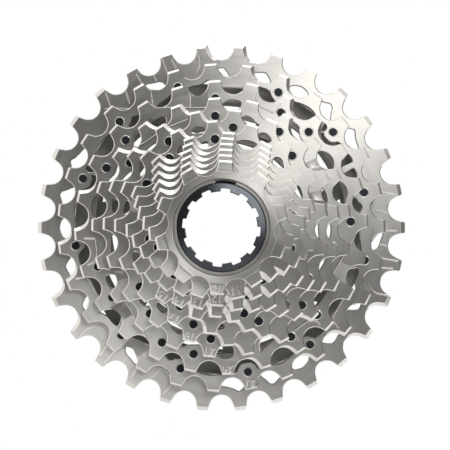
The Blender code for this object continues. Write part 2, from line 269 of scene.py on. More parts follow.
WINDOWS_17 = (
    ((10.6, 28.4), (15.0, 29.4), (20.0, 29.7), (23.6, 29.2), (22.6, 27.4), (17.4, 26.2), (13.0, 26.8)),
    ((37.2, 28.4), (40.0, 29.6), (43.2, 29.2), (46.8, 27.6), (44.4, 26.4), (39.6, 26.4)),
    ((61.4, 28.2), (64.4, 28.6), (70.8, 27.9), (69.4, 26.6), (64.4, 26.2)),
    ((247.8, 30.0), (251.4, 30.4), (254.4, 29.4), (252.4, 28.2), (249.0, 28.6)),
    ((329.4, 28.2), (332.6, 29.5), (336.8, 29.3), (335.6, 27.8), (332.2, 26.8)),
    ((344.6, 27.6), (348.0, 28.4), (351.2, 28.0), (350.2, 26.8), (346.6, 26.4)),
)
WINDOWS_27_SINGLE = WINDOWS_27_SPLIT + WINDOWS_27_CURVED
# teeth: the windows that repeat, and those that don't
REPEATED_WINDOWS = {30: WINDOWS_30, 27: WINDOWS_27}
SINGLE_WINDOWS = {27: WINDOWS_27_SINGLE, 24: WINDOWS_24, 21: WINDOWS_21, 19: WINDOWS_19, 17: WINDOWS_17}
# teeth: (angle, radius) of small holes with nothing in them
PLAIN_HOLES = {27: ((45.2, 47.8), (294.4, 48.3))}

# teeth: places of the teeth whose clockwise flank has a ramp scooped out of its front edge
RAMPS = {
    30: (0, 9, 10, 19, 20, 29),
    27: (0, 1, 9, 10, 18, 19),
    24: (1, 2, 9, 10, 17, 18),
    21: (1, 7, 8, 9, 17, 18, 19),
    19: (8, 9, 16, 17, 18),
    17: (7, 8, 15, 16),
    15: (7, 8, 13, 14),
    14: (6, 7, 12, 13),
    13: (5, 6, 11, 12),
    12: (4, 5, 10, 11),
    11: (4, 9, 10),
}
RAMP_WIDTH = 1.3
RAMP_DEPTH = 1.0
RAMP_CLEAR = 0.35
RAMP_AHEAD = 0.4
RAMP_START = 0.8  # how far beyond the tip a ramp starts
RAMP_GROWN = (1.4, 1.2)  # how much wider and deeper the small sprockets' ramps are on their first half turn
# A ramp's share of its width and depth along the tooth's edge, from beyond the tip to the valley.
RAMP_SHARES = (0.95, 0.95, 0.9, 0.85, 0.75, 0.6, 0.36, 0.04)
RAMP_SHARES_SMALL = (0.6, 0.7, 0.95, 1.1, 1.1, 0.95, 0.7, 0.35, 0.04)

# The raised lines and facets of the shift gates.
UNREPEATED_LINES = 21  # teeth of the sprocket whose raised lines don't repeat every third of a turn
# Half of a raised line's section, as (distance from its middle, y behind the face).
RIDGE_SECTION = ((0.275, 0.1), (0.275, 0.0), (0.1, -0.15))
# teeth: the raised lines, through (angle, radius) points
RIDGES = {
    30: (
        ((-44.5, 56.4), (-24.0, 44.0)),
        ((-40.6, 60.2), (-42.5, 55.4)),
        ((-34.9, 56.5), (-36.5, 52.0)),
        ((-28.9, 59.4), (-28.9, 55.2)),
        ((-23.7, 56.4), (-23.9, 54.0)),
        ((-19.2, 61.0), (-19.1, 54.6)),
        ((-16.5, 59.8), (-15.8, 56.0)),
        ((-7.8, 61.0), (-7.1, 57.6), (-7.4, 55.4), (-9.0, 52.8)),
    ),
    27: (
        ((-35.0, 49.1), (-29.6, 46.3)),
        ((-3.5, 47.5), (3.0, 47.5), (9.3, 48.0)),
        ((10.6, 52.0), (10.0, 49.6), (11.6, 45.8)),
    ),
    24: (
        ((-27.0, 44.8), (-7.0, 40.2)),
        ((14.3, 46.4), (14.5, 44.8), (15.6, 43.2), (17.8, 42.3), (24.4, 42.1)),
        ((25.4, 46.0), (24.9, 42.3)),
    ),
    21: (((-44.0, 38.5), (-43.5, 38.0), (-34.5, 37.6)), ((-28.0, 37.6), (-17.5, 37.4), (-16.6, 38.8))),
}
# teeth: the sloping facets, each as its depth and its (angle, radius) corners, the two deep ones first
FACETS = {
    27: (
        (0.6, ((-29.6, 47.0), (-27.4, 51.6), (-20.0, 52.4), (-20.5, 47.0))),
        (1.3, ((219.5, 47.0), (220.0, 52.4), (212.6, 51.6), (210.4, 47.0))),
    ),
    24: (
        (0.7, ((-14.7, 41.0), (-13.3, 45.4), (-5.5, 45.8), (-6.0, 41.0))),
        (0.45, ((105.3, 41.0), (106.7, 45.4), (114.5, 45.8), (114.0, 41.0))),
        (1.3, ((234.0, 41.0), (234.5, 45.8), (226.7, 45.4), (225.3, 41.0))),
    ),
    21: (
        (1.2, ((61.5, 39.6), (61.0, 34.2), (52.0, 34.2), (53.8, 39.6))),
        (1.2, ((250.0, 34.6), (250.4, 39.6), (242.8, 39.6), (241.6, 34.4))),
    ),
    19: ((1.2, ((78.3, 35.6), (77.9, 30.6), (67.8, 30.6), (69.8, 35.6))),),
    17: ((1.0, ((278.6, 26.8), (280.2, 31.4), (294.4, 31.4), (293.0, 27.0))),),
}
FACET_CLEAR = 0.01
FACET_AHEAD = 1.0
# teeth: angle and radius of the middle of the tooth count on the front
NUMERALS = {
    10: (184.0, 19.3),
    11: (167.0, 20.0),
    12: (183.4, 22.4),
    13: (197.3, 24.7),
    14: (209.7, 27.4),
    15: (220.4, 29.0),
    17: (207.6, 33.3),
    19: (196.2, 37.1),
    21: (185.4, 41.25),
    24: (177.4, 47.4),
    27: (169.5, 53.4),
}
NUMERAL_SIZE = 3.9
NUMERAL_DEPTH = 0.08
NUMERAL_BEVEL = 0.17
NUMERAL_RISE = 0.7  # a numeral is flattened to this share of its depth and bevel
NOSE_RADIUS = 18.2  # reached by the smallest sprocket's raised ring between its valleys
NOSE_DEPTH = 1.6
NOSE_BEVEL = 0.1

CARRIER_FRONT = -2.9
CARRIER_BEVEL = 0.35
CARRIER_HOLE = 1.5
CARRIER_LOBE = 2.4
CARRIER_LOBE_TURNS = range(-50, 51, 20)  # where the disc's edge follows the lobe round a rivet
CARRIER_WINDOWS = 7
CARRIER_FIRST_ARM = 20.6
CARRIER_OPEN = (27.0, 41.5)  # inner and outer radius of a window
CARRIER_OPEN_TURN = (19.7, 21.4)  # half its angle there
CARRIER_SWEEP = 11.5  # how far its inner end is turned
CARRIER_BORE = 22.8
HUB_RADIUS = 22.5
HUB_BEVEL = 0.3
SPLINES = 15
SPLINE_TIP = 16.5
SPLINE_TIP_TURNS = (8.0, 16.0)  # from the middle of a root to the start and the end of the next tip
SPLINE_ROOT = 17.5
SPLINE_ROOT_TURN = 6.5  # half a root's angle

SLEEVE_BORE = 14.6
SLEEVE_RADIUS = 15.9
SLEEVE_NOSE = 15.0  # its radius ahead of the step
SLEEVE_STEP = 0.3  # from the smallest sprocket's back
SLEEVE_CHAMFER = 0.3
SLEEVE_STEP_CHAMFER = 0.2
SLEEVE_BORE_CHAMFER = 0.15
SLEEVE_NOSE_CHAMFER = 0.1

NOTCHES = 12
NOTCH_TURN = 6.3
NOTCH_INNER = 11.3
NOTCH_OUTER = 12.3
NOTCH_WIDTH = 3.0
NOTCH_CORNER = 0.45
CORNER_TURNS = (0, 30, 60, 90)
LAND_EASE = 2  # angle left between a notch and the land beside it
COLLAR_RADIUS = 13.75
COLLAR_DEPTH = 4.9
COLLAR_BEVEL = 0.38
COLLAR_SLOPE = 0.35  # how far the collar's front face falls back per millimetre outwards
COLLAR_CLEAR = 0.5
SHADED_RADIUS = 12.9  # inside this the tube's walls get a near-black, duller copy of its metal as painted shade
TUBE_STEP = 1.5  # from the collar's front to the tube's
TUBE_RADIUS = 14.3
TUBE_BORE = 13.4
TUBE_LAP = (13.2, 13.0)  # radius of the tube inside the collar, at the tube's front and behind its chamfer
TUBE_LAP_END = (4.4, 4.8)  # from the collar's front, where the lap starts to widen and where the bore starts
TUBE_CHAMFER = 0.3
TUBE_BORE_CHAMFER = 0.4
TUBE_FRONT_CHAMFER = 0.2

SNAP_INNER = 14.05
SNAP_OUTER = 15.05
SNAP_BEVEL = 0.12
SNAP_OPENING = (-7.5, 18.0)

SMOOTH_ANGLE = 32  # faces that meet at less than this are shaded as one surface
FLAT_FACING = 0.93  # a face that faces the front or the back more squarely than this is shaded flat
EDGE_FACING = 0.86  # a sprocket's face that faces the front or back less squarely than this is an edge
WALL_FACING = 0.9  # a face of the tube that faces the front less squarely than this is part of a wall

# How a metal's noise is stretched along (radius, turn, depth): its brushing and the smears in its gloss.
BRUSHED = (9000, 14, 2500)
SMEARED = (700, 3, 300)
BRUSH_TURN = 0.25
# Noise scales, the strengths of bumps and their depths in metres.
CLOUD_SCALE = 60.0
SPECK_SCALE = 2400.0
GRAIN = 0.12
SPECK_GRAIN = 0.072
BRUSH_DEPTH = 0.00002
SPECK_DEPTH = 0.00001
GRIT_SCALE = 3800.0
GRIT_CLOUD_SCALE = 90.0
GRIT = 0.35
GRIT_DEPTH = 0.00005
# How far roughness goes below and above its mean.
GLOSS_SPREAD = (0.035, 0.045)
GRIT_SPREAD = 0.06

CAMERA_DISTANCE = 0.503  # from the largest sprocket's front face
CAMERA_LENS = 118.8
CAMERA_SENSOR = 36
CAMERA_SHIFT = (0.008, 0.0056)
FLOOR_RADIUS = 0.8
FLOOR_HEIGHT = -0.35
FLOOR_COLOUR = (0.85, 0.85, 0.85, 1)
FLOOR_ROUGHNESS = 0.8
LIGHT_TARGET = (0, -0.02, 0)
# The studio's tones, which only reflections and lighting show.
STUDIO_DIM = (0.122, 0.119, 0.114)
STUDIO_BRIGHT = (1.15, 1.12, 1.08)
STUDIO_UPPER_RIGHT = (0.8, 0.0, 0.6)


# ---------------- flat outlines


def at(radius, degrees):
    """The (x, z) of a point, from its distance to the axle and its angle."""
    turn = math.radians(degrees)
    return (radius * math.sin(turn), radius * math.cos(turn))


def circle(radius, sides, centre=(0, 0)):
    points = [at(radius, 360 * i / sides) for i in range(sides)]
    return [(centre[0] + x, centre[1] + y) for x, y in points]


def arc(radius, start, end, count):
    return [at(radius, start + (end - start) * i / (count - 1)) for i in range(count)]


def smooth_loop(points):
    """A closed Catmull-Rom curve through points given as (angle, radius)."""
    flat = [Vector(at(radius, angle)) for angle, radius in points]
    count = len(flat)
    loop = []
    for i in range(count):
        before, here, there, after = (flat[(i + k) % count] for k in (-1, 0, 1, 2))
        for step in range(LOOP_STEPS):
            t = step / LOOP_STEPS
            bend = (
                2 * here
                + (there - before) * t
                + (2 * before - 5 * here + 4 * there - after) * t * t
                + (3 * here - before - 3 * there + after) * t * t * t
            )
            loop.append(tuple(bend / 2))
    return loop


def pitch_radius(teeth):
    return CHAIN_PITCH / 2 / math.sin(math.pi / teeth)


def tip_radius(teeth):
    return pitch_radius(teeth) + (LARGE_TIP_HEIGHT if teeth == LARGEST else TIP_HEIGHT)


def tooth_angle(teeth, place):
    return SPROCKETS[teeth][0] + 360 / teeth * place


def gap_profile(teeth):
    """One gap between teeth as (across, out) points, from its anticlockwise tip to its clockwise one."""
    pitch = pitch_radius(teeth)
    tip = tip_radius(teeth)
    half_gap = TIP_GAP + FLANK_SLOPE * (tip - pitch)
    seat = []
    for step in range(-SEAT_STEPS, SEAT_STEPS + 1):
        turn = math.radians(SEAT_ARC * step / SEAT_STEPS)
        seat.append((SEAT_RADIUS * math.sin(turn), pitch - SEAT_RADIUS * math.cos(turn)))
    height = math.sqrt(tip * tip - half_gap * half_gap)
    return [(-half_gap, height), *seat, (half_gap, height)]


def placed(profile, middle):
    """The profile, turned so that its middle is at the angle."""
    return [at(math.hypot(x, y), middle + math.degrees(math.atan2(x, y))) for x, y in profile]


def toothed_edge(teeth):
    edge = []
    for tooth in range(teeth):
        edge += placed(gap_profile(teeth), tooth_angle(teeth, tooth + 0.5))
    return edge


def rivet_spots(teeth):
    """(angle, radius) of each rivet that starts on this sprocket."""
    _, _, radius, places = SPROCKETS[teeth]
    spots = [(tooth_angle(teeth, place), radius) for place in places]
    return spots + list(GAP_RIVETS.get(teeth, ()))


def lobed_bore(bore, spots):
    """A round bore, which dips inwards round each rivet of the next smaller sprocket."""
    edge = []
    spots = sorted((angle % 360, radius) for angle, radius in spots)
    halves = []
    for angle, radius in spots:
        reach = (bore**2 + radius**2 - RIVET_LOBE**2) / (2 * bore * radius)
        halves.append(math.degrees(math.acos(reach)))
    for i, (angle, radius) in enumerate(spots):
        start = math.acos((bore**2 - radius**2 - RIVET_LOBE**2) / (2 * radius * RIVET_LOBE))
        across, out = at(1, angle)
        for step in range(1, LOBE_STEPS):
            turn = start + (2 * math.pi - 2 * start) * step / LOBE_STEPS
            outward = radius + RIVET_LOBE * math.cos(turn)
            sideways = -RIVET_LOBE * math.sin(turn)
            edge.append((outward * across + sideways * out, outward * out - sideways * across))
        following = spots[(i + 1) % len(spots)][0] + (360 if i + 1 == len(spots) else 0)
        low, high = angle + halves[i], following - halves[(i + 1) % len(spots)]
        edge += arc(bore, low + LOBE_EASE, high - LOBE_EASE, max(3, round((high - low) / BORE_STEP)))
    return edge


def turned_points(points, degrees):
    return [(angle + degrees, radius) for angle, radius in points]


def at_gates(outlines, gates=range(GATES)):
    """Copies of outlines given at the top gate, at each of the gates."""
    return [turned_points(points, GATE_TURN * gate) for points in outlines for gate in gates]


def windows_of(teeth):
    """The (angle, radius) points of the sprocket's windows."""
    windows = at_gates(REPEATED_WINDOWS.get(teeth, ()))
    if teeth == 27:
        # At the top gate the long window is split in two.
        windows += at_gates([WINDOW_27_LONG], (1, 2))
    return windows + list(SINGLE_WINDOWS.get(teeth, ()))


# ---------------- meshes


def new_object(name, mesh):
    obj = bpy.data.objects.new(name, mesh)
    bpy.context.scene.collection.objects.link(obj)
    return obj


def mesh_from(work, name):
    """The working mesh as a finished one, welded and with every face turned outwards."""
    bmesh.ops.remove_doubles(work, verts=work.verts, dist=WELD)
    bmesh.ops.recalc_face_normals(work, faces=work.faces)
    mesh = bpy.data.meshes.new(name)
    work.to_mesh(mesh)
    work.free()
    return mesh


def meshed(obj, name):
    """The curve or text object as a welded mesh object of its own, with its placement applied."""
    bpy.context.view_layer.update()
    graph = bpy.context.evaluated_depsgraph_get()
    mesh = bpy.data.meshes.new_from_object(obj.evaluated_get(graph))
    work = bmesh.new()
    work.from_mesh(mesh)
    work.transform(obj.matrix_world)
    bpy.data.meshes.remove(mesh)
    bpy.data.objects.remove(obj, do_unlink=True)
    return new_object(name, mesh_from(work, name))


def plate(name, outlines, front, back, bevel, rounds=0, steep=1.0):
    """Flat outlines made solid from y = front to y = back.

    The first outline is the outer edge. The bevels are inside the outlines, and steep times as deep as wide.
    """
    curve = bpy.data.curves.new(name, "CURVE")
    curve.dimensions = "2D"
    curve.fill_mode = "BOTH"
    curve.extrude = ((back - front) / 2 / steep - bevel) * MM
    curve.bevel_depth = bevel * MM
    curve.bevel_resolution = rounds
    curve.offset = -bevel * MM
    for number, outline in enumerate(outlines):
        points = list(outline)
        area = sum(a[0] * b[1] - b[0] * a[1] for a, b in zip(points, points[1:] + points[:1]))
        if (area > 0) == (number > 0):
            points.reverse()
        spline = curve.splines.new("POLY")
        spline.points.add(len(points) - 1)
        for point, (x, y) in zip(spline.points, points):
            point.co = (x * MM, y * MM, 0, 1)
        spline.use_cyclic_u = True
    obj = new_object(name + "_outline", curve)
    obj.location = (0, (front + back) / 2 * MM, 0)
    obj.rotation_euler = (math.pi / 2, 0, 0)
    obj.scale = (1, 1, steep)
    return meshed(obj, name)


def turned(name, profile, sides, centre=(0, 0)):
    """A body turned about an axis along Y, from the (radius, y) points of its closed section."""
    work = bmesh.new()
    rings = []
    for i in range(sides):
        ring = []
        for radius, y in profile:
            x, z = at(radius, 360 * i / sides)
            ring.append(work.verts.new(((centre[0] + x) * MM, y * MM, (centre[1] + z) * MM)))
        rings.append(ring)
    count = len(profile)
    for i in range(sides):
        here, there = rings[i], rings[(i + 1) % sides]
        for j in range(count):
            k = (j + 1) % count
            if profile[j][0] == profile[k][0] == 0:
                continue
            work.faces.new((here[j], here[k], there[k], there[j]))
    return new_object(name, mesh_from(work, name))


def join(name, objects):
    """One object of several meshes."""
    work = bmesh.new()
    for obj in objects:
        work.from_mesh(obj.data)
        bpy.data.objects.remove(obj, do_unlink=True)
    mesh = bpy.data.meshes.new(name)
    work.to_mesh(mesh)
    work.free()
    return new_object(name, mesh)


def combine(obj, other, operation="DIFFERENCE"):
    """Applies a Boolean with the other object, which is used up."""
    modifier = obj.modifiers.new("cut", "BOOLEAN")
    modifier.operation = operation
    modifier.object = other
    bpy.context.view_layer.update()
    graph = bpy.context.evaluated_depsgraph_get()
    mesh = bpy.data.meshes.new_from_object(obj.evaluated_get(graph))
    obj.modifiers.clear()
    old = obj.data
    obj.data = mesh
    bpy.data.meshes.remove(old)
    bpy.data.objects.remove(other, do_unlink=True)


def finish_mesh(obj, material):
    """Gives a piece its material and its shading, which is flat on its front and back."""
    obj.data.materials.clear()
    obj.data.materials.append(material)
    obj.data.shade_smooth()
    obj.data.set_sharp_from_angle(angle=math.radians(SMOOTH_ANGLE))
    for face in obj.data.polygons:
        if abs(face.normal.y) > FLAT_FACING:
            face.use_smooth = False


def tip_cone(teeth, front):
    """A ring with a conical back that slopes the front edge of every tip."""
    tip = tip_radius(teeth)
    start = tip - (LARGE_TIP_CHAMFER if teeth == LARGEST else TIP_CHAMFER)
    inner, outer = start - TIP_CLEAR, tip + TIP_CLEAR
    ahead = front - TIP_CLEAR * TIP_SLOPE
    profile = [(inner, ahead), (outer, front + (outer - start) * TIP_SLOPE), (outer, ahead)]
    return turned("tip_cone", profile, CONE_SIDES)


def skinned(name, rings):
    """A closed body through rings of (x, y, z) corners in millimetres."""
    work = bmesh.new()
    loops = [[work.verts.new([value * MM for value in corner]) for corner in ring] for ring in rings]
    for here, there in zip(loops, loops[1:]):
        for j in range(len(here)):
            k = (j + 1) % len(here)
            work.faces.new((here[j], here[k], there[k], there[j]))
    work.faces.new(loops[0])
    work.faces.new(loops[-1])
    return new_object(name, mesh_from(work, name))


def ramp_cutter(teeth, place, front):
    """A wedge along the clockwise flank of one tooth, from its tip down into the valley."""
    small = teeth < LOBED_FROM
    shares = RAMP_SHARES_SMALL if small else RAMP_SHARES
    wider, deeper = RAMP_GROWN if small and place < teeth / 2 else (1, 1)
    width, depth = RAMP_WIDTH * wider, RAMP_DEPTH * deeper
    edge = placed(gap_profile(teeth), tooth_angle(teeth, place + 0.5))
    path = [Vector(point) for point in edge[: len(shares) - 1]]
    path.insert(0, path[0] + path[0].normalized() * RAMP_START)
    rings = []
    for i, point in enumerate(path):
        before = path[max(0, i - 1)]
        after = path[min(len(path) - 1, i + 1)]
        along = (after - before).normalized()
        into = Vector((along.y, -along.x))
        brink = point + into * width * shares[i]
        clear = point - into * RAMP_CLEAR
        low = front + depth * shares[i]
        below = low + RAMP_CLEAR * depth / width
        ahead = front - RAMP_AHEAD
        corners = ((brink, front), (brink, ahead), (clear, ahead), (clear, below), (point, low))
        rings.append([(flat.x, y, flat.y) for flat, y in corners])
    return skinned("ramp_cutter", rings)


def facet_cutter(points, front, depth):
    """A cutter for a sloping facet between four (angle, radius) points, deep at the first two."""
    low = []
    high = []
    for (angle, radius), sink in zip(points, (depth, depth, -FACET_CLEAR, -FACET_CLEAR)):
        x, z = at(radius, angle)
        low.append((x, front + sink, z))
        high.append((x, front - FACET_AHEAD, z))
    return skinned("facet", [low, high])


def ridge(points, front):
    """A low raised line along (angle, radius) points on a front face."""
    flat = [Vector(at(radius, angle)) for angle, radius in points]
    rings = []
    for i, point in enumerate(flat):
        along = (flat[min(i + 1, len(flat) - 1)] - flat[max(i - 1, 0)]).normalized()
        side = Vector((-along.y, along.x))
        corners = [(point - side * reach, front + y) for reach, y in RIDGE_SECTION]
        corners += [(point + side * reach, front + y) for reach, y in reversed(RIDGE_SECTION)]
        rings.append([(spot.x, y, spot.y) for spot, y in corners])
    return skinned("ridge", rings)


def numeral(teeth, front):
    angle, radius = NUMERALS[teeth]
    text = bpy.data.curves.new("numeral", "FONT")
    text.body = str(teeth)
    text.size = NUMERAL_SIZE * MM
    text.align_x = "CENTER"
    text.align_y = "CENTER"
    text.extrude = NUMERAL_DEPTH * MM
    text.bevel_depth = NUMERAL_BEVEL * MM
    text.bevel_resolution = 0
    text.offset = -NUMERAL_BEVEL / 2 * MM
    text.resolution_u = 2
    obj = new_object("numeral", text)
    x, z = at(radius, angle)
    upright = Matrix.Rotation(math.radians(angle), 4, "Y") @ Matrix.Rotation(math.pi / 2, 4, "X")
    flattened = Matrix.Diagonal((1, 1, NUMERAL_RISE, 1))
    obj.matrix_world = Matrix.Translation((x * MM, front * MM, z * MM)) @ upright @ flattened
    return meshed(obj, "numeral")


# ---------------- materials


def node_material(name):
    material = bpy.data.materials.new(name)
    material.use_nodes = True
    return material, material.node_tree, material.node_tree.nodes["Principled BSDF"]


def add(tree, kind, **settings):
    """A new node. Settings are its properties, or with in_ before the name the values of its inputs."""
    node = tree.nodes.new(kind)
    for key, value in settings.items():
        if key.startswith("in_"):
            label = key[3:].replace("_", " ")
            node.inputs[label].default_value = value
        else:
            setattr(node, key, value)
    return node


def calculated(tree, operation, *values):
    """The result of a math node, from sockets and plain numbers."""
    node = add(tree, "ShaderNodeMath", operation=operation)
    for socket, value in zip(node.inputs, values):
        if isinstance(value, float):
            socket.default_value = value
        else:
            tree.links.new(value, socket)
    return node.outputs[0]


def ring_coordinates(tree):
    """(radius, turn, depth) of the point about the Y axis, in metres and radians, and its own coordinates."""
    place = add(tree, "ShaderNodeTexCoord").outputs["Object"]
    split = add(tree, "ShaderNodeSeparateXYZ")
    tree.links.new(place, split.inputs[0])
    x, y, z = split.outputs
    squares = [calculated(tree, "MULTIPLY", axis, axis) for axis in (x, z)]
    radius = calculated(tree, "SQRT", calculated(tree, "ADD", *squares))
    turn = calculated(tree, "ARCTAN2", x, z)
    made = add(tree, "ShaderNodeCombineXYZ")
    for value, socket in zip((radius, turn, y), made.inputs):
        tree.links.new(value, socket)
    return made.outputs[0], place


def noise(tree, vector, scale, detail, stretch=None):
    if stretch:
        mapping = add(tree, "ShaderNodeMapping")
        mapping.inputs["Scale"].default_value = stretch
        tree.links.new(vector, mapping.inputs["Vector"])
        vector = mapping.outputs[0]
    node = add(tree, "ShaderNodeTexNoise", in_Scale=scale, in_Detail=detail)
    tree.links.new(vector, node.inputs["Vector"])
    return node.outputs["Fac"]


def ranged(tree, value, low, high, source=(0.3, 0.7), smooth=False):
    """The value taken from its source range to the range from low to high."""
    node = add(tree, "ShaderNodeMapRange", interpolation_type="SMOOTHSTEP" if smooth else "LINEAR")
    for label, bound in zip(("From Min", "From Max", "To Min", "To Max"), (*source, low, high)):
        node.inputs[label].default_value = bound
    tree.links.new(value, node.inputs["Value"])
    return node.outputs["Result"]


def mixed(tree, factor, first, second):
    node = add(tree, "ShaderNodeMix", data_type="RGBA", in_A=(*first, 1), in_B=(*second, 1))
    tree.links.new(factor, node.inputs["Factor"])
    return node.outputs["Result"]


def bumped(tree, shader, heights):
    """Chains bumps of (height, strength, distance in metres) into the shader's normal."""
    last = None
    for height, strength, distance in heights:
        bump = add(tree, "ShaderNodeBump", in_Strength=strength, in_Distance=distance)
        tree.links.new(height, bump.inputs["Height"])
        if last:
            tree.links.new(last, bump.inputs["Normal"])
        last = bump.outputs[0]
    tree.links.new(last, shader.inputs["Normal"])


def metal(name, light, dark, roughness, anisotropy, metallic=1.0):
    """Turned or brushed metal: rings of fine grain, smears in its gloss and a faint cloud in its colour."""
    material, tree, shader = node_material(name)
    rings, place = ring_coordinates(tree)
    brushed = noise(tree, rings, 1.0, 4.0, BRUSHED)
    cloud = noise(tree, place, CLOUD_SCALE, 4.0)
    speck = noise(tree, place, SPECK_SCALE, 2.0)
    shader.inputs["Metallic"].default_value = metallic
    shader.inputs["Anisotropic"].default_value = anisotropy
    shader.inputs["Anisotropic Rotation"].default_value = BRUSH_TURN
    tree.links.new(mixed(tree, ranged(tree, cloud, 0, 1), light, dark), shader.inputs["Base Color"])
    smear = noise(tree, rings, 1.0, 3.0, SMEARED)
    below, above = GLOSS_SPREAD
    tree.links.new(ranged(tree, smear, roughness - below, roughness + above), shader.inputs["Roughness"])
    if anisotropy:
        tangent = add(tree, "ShaderNodeTangent", direction_type="RADIAL", axis="Y")
        tree.links.new(tangent.outputs[0], shader.inputs["Tangent"])
    bumped(tree, shader, ((brushed, GRAIN, BRUSH_DEPTH), (speck, SPECK_GRAIN, SPECK_DEPTH)))
    return material


def blasted(name, light, dark, roughness):
    """Anodised alloy, blasted matte."""
    material, tree, shader = node_material(name)
    _, place = ring_coordinates(tree)
    grit = noise(tree, place, GRIT_SCALE, 4.0)
    cloud = noise(tree, place, GRIT_CLOUD_SCALE, 3.0)
    shader.inputs["Metallic"].default_value = 0.35
    shade = ranged(tree, grit, 0, 1, (0.25, 0.75))
    gloss = ranged(tree, cloud, roughness - GRIT_SPREAD, roughness + GRIT_SPREAD)
    tree.links.new(mixed(tree, shade, light, dark), shader.inputs["Base Color"])
    tree.links.new(gloss, shader.inputs["Roughness"])
    bumped(tree, shader, ((grit, GRIT, GRIT_DEPTH),))
    return material


STEEL = metal("satin_nickel", (0.66, 0.65, 0.63), (0.60, 0.59, 0.575), 0.36, 0.75)
EDGE = metal("sheared_edge", (0.72, 0.71, 0.69), (0.64, 0.63, 0.615), 0.2, 0.0)
SLEEVE = metal("turned_steel", (0.62, 0.61, 0.59), (0.5, 0.49, 0.48), 0.3, 0.6)
SPRING = metal("spring_steel", (0.6, 0.585, 0.565), (0.48, 0.47, 0.455), 0.34, 0.4)
DARK = metal("black_oxide", (0.022, 0.026, 0.03), (0.012, 0.014, 0.018), 0.38, 0.0, metallic=0.6)
BLACK = metal("black_anodised", (0.065, 0.07, 0.079), (0.048, 0.053, 0.06), 0.3, 0.0)
# A near-black, duller copy of the lock tube's metal: painted shade for the walls inside its notches and bore.
SHADED = metal("lock_tube_painted_shade", (0.012, 0.013, 0.015), (0.006, 0.007, 0.008), 0.45, 0.0, metallic=0.3)
GREY = blasted("blasted_grey", (0.36, 0.355, 0.345), (0.26, 0.256, 0.25), 0.62)


# ---------------- pieces


def carried(obj, body, slot, *nodes):
    """Rides a piece on a body, hiding the model's nodes that it stands for, if any. The slot is not used."""
    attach(obj, body)
    if nodes:
        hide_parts(*nodes)


def node_front(node):
    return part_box(node)[0][1] / MM


def node_back(node):
    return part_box(node)[1][1] / MM


def rivet_holes(spots):
    """Outlines of rivet holes, which the bevel makes narrower."""
    return [circle(RIVET_HOLE + PLATE_BEVEL, RIVET_SIDES, at(radius, angle)) for angle, radius in spots]


def raised_on(teeth, front):
    """What stands up from the sprocket's front: lips round its rivets, the gates' lines and its numeral."""
    lip = [(radius, front + y) for radius, y in RIVET_LIP]
    raised = [turned("lip", lip, RIVET_SIDES, at(radius, angle)) for angle, radius in rivet_spots(teeth)]
    gates = range(1 if teeth == UNREPEATED_LINES else GATES)
    raised += [ridge(points, front) for points in at_gates(RIDGES.get(teeth, ()), gates)]
    if teeth in NUMERALS:
        raised.append(numeral(teeth, front))
    return raised


def make_sprocket(teeth):
    node = f"sprocket_{teeth}t"
    back = node_back(node)
    front = back - PLATE
    smaller = rivet_spots(ORDER[ORDER.index(teeth) - 1]) if teeth != SMALLEST else []
    bore_radius = SPROCKETS[teeth][1]
    bore = lobed_bore(bore_radius, smaller) if teeth >= LOBED_FROM else circle(bore_radius, ROUND_SIDES)
    outlines = [toothed_edge(teeth), bore] + rivet_holes(rivet_spots(teeth) + smaller)
    outlines += [smooth_loop(points) for points in windows_of(teeth)]
    outlines += rivet_holes(PLAIN_HOLES.get(teeth, ()))
    name = f"plate_{teeth:02d}t"
    obj = plate(name, outlines, front, back, PLATE_BEVEL, steep=PLATE_STEEP)
    combine(obj, tip_cone(teeth, front))
    facets = [facet_cutter(points, front, depth) for depth, points in FACETS.get(teeth, ())]
    ramps = [ramp_cutter(teeth, place, front) for place in RAMPS.get(teeth, ())]
    for cutters in (facets, ramps):
        if cutters:
            combine(obj, join("cutters", cutters))
    obj = join(name, [obj] + raised_on(teeth, front))
    finish_mesh(obj, STEEL)
    obj.data.materials.append(EDGE)
    for face in obj.data.polygons:
        face.material_index = int(abs(face.normal.y) < EDGE_FACING)
    carried(obj, "cassette", "sprocket_steel", node)


def make_rivet(teeth, number, spot, *nodes):
    """A rivet from a sprocket to the next larger one, and from the second largest on to the carrier."""
    angle, radius = spot
    larger = f"sprocket_{ORDER[ORDER.index(teeth) + 1]}t"
    front = node_back(f"sprocket_{teeth}t") - PLATE
    back = node_back("carrier" if teeth == CARRIER_RIVETED else larger)
    profile = [(r, front + y) for r, y in RIVET_HEAD]
    profile += [(r, front + PLATE + gap) for r, gap in RIVET_SHOULDER]
    profile += [(r, node_back(larger) - PLATE - gap) for r, gap in reversed(RIVET_SHOULDER)]
    profile += [(r, back - rest) for r, rest in RIVET_TAIL]
    obj = turned(f"pin_{teeth}t_{number:02d}", profile, RIVET_SIDES, at(radius, angle))
    finish_mesh(obj, DARK)
    carried(obj, "cassette", "rivet_steel", *nodes)


def make_rivets():
    for teeth, cad_count in CAD_RIVETS.items():
        for number, spot in enumerate(rivet_spots(teeth), 1):
            nodes = [f"rivet_{teeth}t_{number:02d}"] if number <= cad_count else []
            make_rivet(teeth, number, spot, *nodes)


def make_nose():
    """The smallest sprocket's raised ring."""
    front = node_front(f"sprocket_{SMALLEST}t")
    edge = [point for point in toothed_edge(SMALLEST) if math.hypot(*point) < NOSE_RADIUS]
    bore = circle(SPROCKETS[SMALLEST][1], ROUND_SIDES)
    ring = plate("nose_ring", [edge, bore], front, front + NOSE_DEPTH, NOSE_BEVEL)
    finish_mesh(ring, STEEL)
    carried(ring, "cassette", "sprocket_steel")


